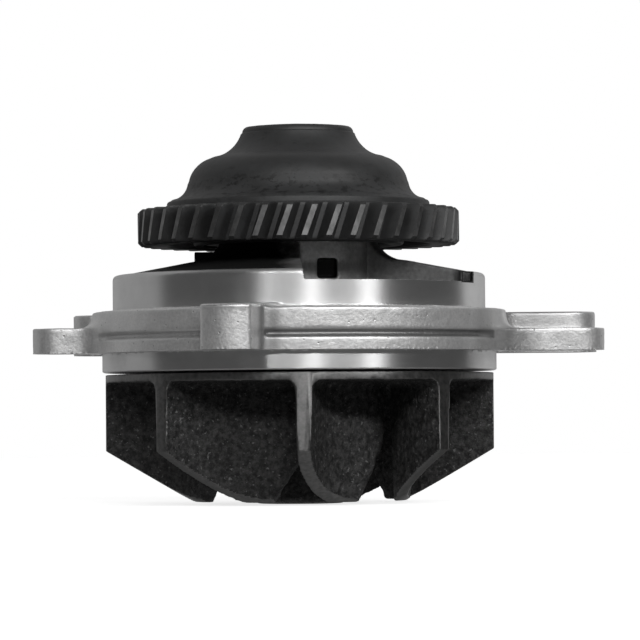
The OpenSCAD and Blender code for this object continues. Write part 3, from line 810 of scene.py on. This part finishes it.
def painted_shade_aluminium():
    """Casting with shade painted where the gear overhangs it: blackest on the left, in the rim's notch and in
    the cast window, lighter on the snout's face.
    """
    m = Material("painted_shade_aluminium", Metallic=0.7)
    grain = m.noise(0.9, 4, 0.6)
    ragged_edge = m.noise(6, 4, 0.6)
    place = m.node("ShaderNodeSeparateXYZ", {0: m.coords}).outputs
    # Painted shade: black left of the shaft, grey to the right, lighter on the snout, black in the notch and
    # inside the snout's radius.
    spread = m.math("MULTIPLY_ADD", ragged_edge, 0.012, place["X"])
    far_right = m.remap(place["X"], 0.0405, 0.0425, 0, 1)
    notch = m.math("MULTIPLY", far_right, m.remap(place["Y"], -0.017, -0.016, 1, 0))
    lit_share = m.math("SUBTRACT", m.remap(spread, 0.001, 0.006, 0, 1), notch)
    above = m.remap(place["Z"], 0.0232, 0.0246, 0, 1)
    snout = m.math("MULTIPLY", above, m.remap(spread, 0.016, 0.024, 1, 0))
    tone = m.mix(snout, grey(0.42), grey(0.85))
    tone = m.mix(lit_share, grey(0.04), tone)
    radius = m.math("SQRT", m.math("ADD", m.math("POWER", place["X"], 2.0), m.math("POWER", place["Y"], 2.0)))
    tone = m.mix(m.remap(radius, 0.0198, 0.0203, 1, 0), tone, grey(0.02))
    tone = m.mix(m.remap(grain, 0.35, 0.7, 0.3, 0), tone, grey(0.03))
    rough = m.remap(grain, 0.3, 0.7, 0.40, 0.55)
    m.set(Base_Color=tone, Roughness=rough, Normal=m.bump(grain, 0.08, 0.6))
    return m.made


def turned_aluminium():
    """Bright machined aluminium with fine lines round the shaft axis."""
    m = Material("turned_aluminium", Metallic=1.0, Anisotropic=0.9, Anisotropic_Rotation=0.25)
    lines = m.noise(0.35, 2, 0.6, (0.03, 0.03, 1))
    broad = m.noise(7, 3)
    tone = m.mix(m.remap(broad, 0.3, 0.7, 0, 1), grey(0.70), grey(0.77))
    rough = m.remap(lines, 0.3, 0.7, 0.30, 0.38)
    tangent = m.node("ShaderNodeTangent", direction_type="RADIAL", axis="Z").outputs[0]
    m.set(Base_Color=tone, Roughness=rough, Normal=m.bump(lines, 0.012, 0.5), Tangent=tangent)
    return m.made


def cast_iron():
    """Near-black sand casting with mottles, and bright specks that are painted glints."""
    m = Material("cast_iron", Metallic=0.0)
    grain = m.noise(1.6, 5, 0.75)
    painted_glints = m.remap(m.noise(0.85, 2), 0.64, 0.70, 0, 1)
    tone = m.mix(m.remap(grain, 0.42, 0.63, 0, 1), grey(0.004), grey(0.068, 0.001))
    # Painted highlight: bright specks stand in for glints on the rough iron.
    tone = m.mix(m.math("MULTIPLY", painted_glints, 0.6), tone, grey(0.3))
    rough = m.remap(grain, 0.3, 0.7, 0.62, 0.42)
    normal = m.bump(grain, 0.9, 1.0)
    m.set(Base_Color=tone, Roughness=rough, Normal=normal)
    m.set(**{"Specular IOR Level": 0.6})
    return m.made


def turned_iron():
    """Dull machined iron with fine lines round the shaft axis."""
    m = Material("turned_iron", Metallic=1.0, Anisotropic=0.8, Anisotropic_Rotation=0.25)
    lines = m.noise(0.4, 3, 0.6, (0.05, 0.05, 1))
    grain = m.noise(1.2, 4)
    tone = m.mix(m.remap(grain, 0.3, 0.7, 0, 1), grey(0.15), grey(0.27, 0.003))
    rough = m.remap(grain, 0.3, 0.7, 0.36, 0.52)
    normal = m.bump(grain, 0.02, 0.4, m.bump(lines, 0.02, 0.5))
    tangent = m.node("ShaderNodeTangent", direction_type="RADIAL", axis="Z").outputs[0]
    m.set(Base_Color=tone, Roughness=rough, Normal=normal, Tangent=tangent)
    return m.made


def black_oxide():
    """Black gear steel, with dark specks in a belt round the hub's lower half."""
    m = Material("black_oxide", Metallic=0.0)
    broad = m.noise(14, 4, 0.6)
    stain = m.remap(m.noise(4, 5, 0.7, (1, 1, 2.2)), 0.56, 0.66, 0, 1)
    grain = m.noise(0.8, 4, 0.6)
    height = m.node("ShaderNodeSeparateXYZ", {0: m.coords}).outputs["Z"]
    belt = m.math("MULTIPLY", m.remap(height, 0.0395, 0.0415, 0, 1), m.remap(height, 0.0455, 0.048, 1, 0))
    specks = m.remap(m.noise(2.6, 5, 0.75, (1, 1, 1.8)), 0.54, 0.58, 0, 1)
    tone = m.mix(m.remap(broad, 0.35, 0.65, 0, 1), grey(0.021), grey(0.038, -0.001))
    tone = m.mix(m.math("MULTIPLY", stain, 0.7), tone, grey(0.010))
    tone = m.mix(m.math("MULTIPLY", belt, specks), tone, grey(0.001))
    rough = m.remap(broad, 0.3, 0.7, 0.48, 0.62)
    m.set(Base_Color=tone, Roughness=rough, Normal=m.bump(grain, 0.05, 0.6))
    m.set(**{"Specular IOR Level": 0.75})
    return m.made


def ground_teeth():
    """Brighter steel on the crests of the teeth."""
    m = Material("ground_teeth", Metallic=1.0)
    broad = m.noise(3, 4, 0.6)
    grain = m.noise(0.6, 4, 0.6, (1, 1, 0.3))
    tone = m.mix(m.remap(broad, 0.35, 0.65, 0, 1), grey(0.19), grey(0.31))
    rough = m.remap(grain, 0.3, 0.7, 0.34, 0.46)
    m.set(Base_Color=tone, Roughness=rough, Normal=m.bump(grain, 0.03, 0.6))
    return m.made


def hidden_material(slot, rgb, metallic, low_rough, high_rough):
    """Plain worn finish for the parts inside the housing."""
    m = Material("inner_" + slot, Metallic=metallic)
    grain = m.noise(1.1, 4, 0.6)
    dark = tuple(0.75 * c for c in rgb) + (1,)
    tone = m.mix(m.remap(grain, 0.3, 0.7, 0, 1), dark, tuple(rgb) + (1,))
    rough = m.remap(grain, 0.3, 0.7, low_rough, high_rough)
    m.set(Base_Color=tone, Roughness=rough, Normal=m.bump(grain, 0.02, 0.4))
    return m.made


FINISHES = {
    "bearing_steel": (1.0, 0.18, 0.3),
    "spring_steel": (1.0, 0.3, 0.45),
    "cage_plastic": (0.0, 0.4, 0.55),
    "seal_rubber": (0.0, 0.6, 0.75),
    "seal_brass": (1.0, 0.25, 0.4),
    "carbon": (0.0, 0.35, 0.5),
    "seat_ceramic": (0.0, 0.15, 0.25),
}


def finish_inner_nodes():
    """Gives every CAD node that stays a material of its own slot."""
    colours = {m["slot"]: m["base_color"] for m in frame["record"]["materials"]}
    made = {}
    for part in frame["record"]["subparts"]:
        slot = part["material_slot"]
        if slot not in FINISHES:
            continue
        if slot not in made:
            made[slot] = hidden_material(slot, colours[slot], *FINISHES[slot])
        mesh = frame["nodes"][part["node"]].data
        mesh.materials.clear()
        mesh.materials.append(made[slot])


# ---- studio ----

# Grey panels beside and behind the pump: (degrees to the right of the camera, brightness)
PANELS = [
    (-180, 0.30), (-97, 0.27), (-91, 0.03), (-30, 0.03), (-10, 0.08),
    (50, 0.08), (62, 0.03), (116, 0.03), (126, 0.5), (180, 0.30),
]
# How much of the panels shows at each height, and the light from below and above, each as
# (sine of the angle above the horizon, value)
PANEL_HEIGHTS = [(-0.4, 0), (-0.2, 1), (0.75, 1), (0.9, 0.3)]
SURROUND = [(-0.75, 0.25), (-0.45, 0.08), (-0.1, 0.04), (0.5, 0.05), (0.75, 0.12)]

# Strip lights above the camera: (from degrees, to degrees, radiance)
STRIPS = [(-25, -17, 12), (-17, 1, 9), (3, 12, 33), (13, 39, 9), (40, 50, 35)]
STRIP_HEIGHT = 24
STRIP_TALL = 5
STRIP_DISTANCE = 1.6


class WorldNodes:
    """Short ways to build the world's nodes."""

    def __init__(self, tree):
        self.tree = tree
        tree.nodes.clear()

    def node(self, kind, inputs, **props):
        made = self.tree.nodes.new(kind)
        for name, value in props.items():
            setattr(made, name, value)
        for name, value in inputs.items():
            if isinstance(value, bpy.types.NodeSocket):
                self.tree.links.new(value, made.inputs[name])
            else:
                made.inputs[name].default_value = value
        return made

    def ramp(self, share, stops):
        """Grey ramp over a 0 to 1 share."""
        made = self.node("ShaderNodeValToRGB", {0: share})
        elements = made.color_ramp.elements
        while len(elements) < len(stops):
            elements.new(0.5)
        for element, (position, value) in zip(elements, stops):
            element.position = position
            element.color = (value, value, value, 1)
        return made.outputs[0]

    def math(self, operation, *values):
        return self.node("ShaderNodeMath", dict(enumerate(values)), operation=operation).outputs[0]


def make_world():
    """White backdrop for the camera, and grey panels and dark flags that the object reflects."""
    world = bpy.data.worlds.new("studio")
    world.use_nodes = True
    w = WorldNodes(world.node_tree)
    way = w.node("ShaderNodeTexCoord", {}).outputs["Generated"]
    xyz = w.node("ShaderNodeSeparateXYZ", {0: way}).outputs
    angle = w.math("ARCTAN2", xyz["X"], w.math("MULTIPLY", xyz["Y"], -1.0))
    round_share = w.math("MULTIPLY_ADD", angle, 1 / (2 * pi), 0.5)
    up_share = w.math("MULTIPLY_ADD", xyz["Z"], 0.5, 0.5)
    panels = w.ramp(round_share, [((a + 180) / 360, v) for a, v in PANELS])
    shown = w.ramp(up_share, [((z + 1) / 2, v) for z, v in PANEL_HEIGHTS])
    surround = w.ramp(up_share, [((z + 1) / 2, v) for z, v in SURROUND])
    light = w.math("ADD", w.math("MULTIPLY", panels, shown), surround)
    studio = w.node("ShaderNodeBackground", {"Color": light, "Strength": 1.0})
    backdrop = w.node("ShaderNodeBackground", {"Color": (1, 1, 1, 1), "Strength": 1.0})
    seen = w.node("ShaderNodeLightPath", {}).outputs["Is Camera Ray"]
    both = w.node("ShaderNodeMixShader", {0: seen, 1: studio.outputs[0], 2: backdrop.outputs[0]})
    w.node("ShaderNodeOutputWorld", {0: both.outputs[0]})
    bpy.context.scene.world = world


def strip_light(name, start, end, radiance):
    """Soft box above the camera that fills the view between two angles, seen from the pump."""
    width = 2 * STRIP_DISTANCE * tan(radians(end - start) / 2)
    tall = 2 * STRIP_DISTANCE * tan(radians(STRIP_TALL) / 2)
    data = bpy.data.lights.new(name, "AREA")
    data.shape = "RECTANGLE"
    data.size = width
    data.size_y = tall
    data.energy = radiance * pi * width * tall
    light = bpy.data.objects.new(name, data)
    bpy.context.collection.objects.link(light)
    a, e = radians((start + end) / 2), radians(STRIP_HEIGHT)
    reach = STRIP_DISTANCE * cos(e)
    at = Matrix.Translation((reach * sin(a), -reach * cos(a), STRIP_DISTANCE * sin(e)))
    light.matrix_world = at @ Matrix.Rotation(a, 4, "Z") @ Matrix.Rotation(pi / 2 - e, 4, "X")


def make_floor():
    """Plain pale floor that the pump stands on."""
    z = cad_box[0][2] / MM - 0.1
    size = 1500
    corners = np.array([(-size, -size, z), (size, -size, z), (size, size, z), (-size, size, z)], float)
    floor = add_mesh("floor", corners, np.array([[0, 1, 2, 3]]))
    m = Material("pale_floor", Roughness=0.9)
    tone = m.mix(m.remap(m.noise(40, 2), 0.3, 0.7, 0, 1), grey(0.93), grey(0.95))
    m.set(Base_Color=tone, Emission_Color=grey(1.0), Emission_Strength=0.75)
    floor.data.materials.append(m.made)
    floor.visible_diffuse = False
    floor.visible_glossy = False


make_camera()
make_world()
for number, strip in enumerate(STRIPS):
    strip_light(f"strip_{number + 1}", *strip)
bpy.context.scene.view_settings.view_transform = "Standard"
make_floor()

for piece, body, node, slot in (
    (make_housing(), "housing", "housing", "cast_aluminium"),
    (make_impeller(), "rotor", "impeller", "cast_iron"),
    (make_gear(), "rotor", "drive_gear", "black_steel"),
):
    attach(piece, body)
    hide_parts(node)
finish_inner_nodes()
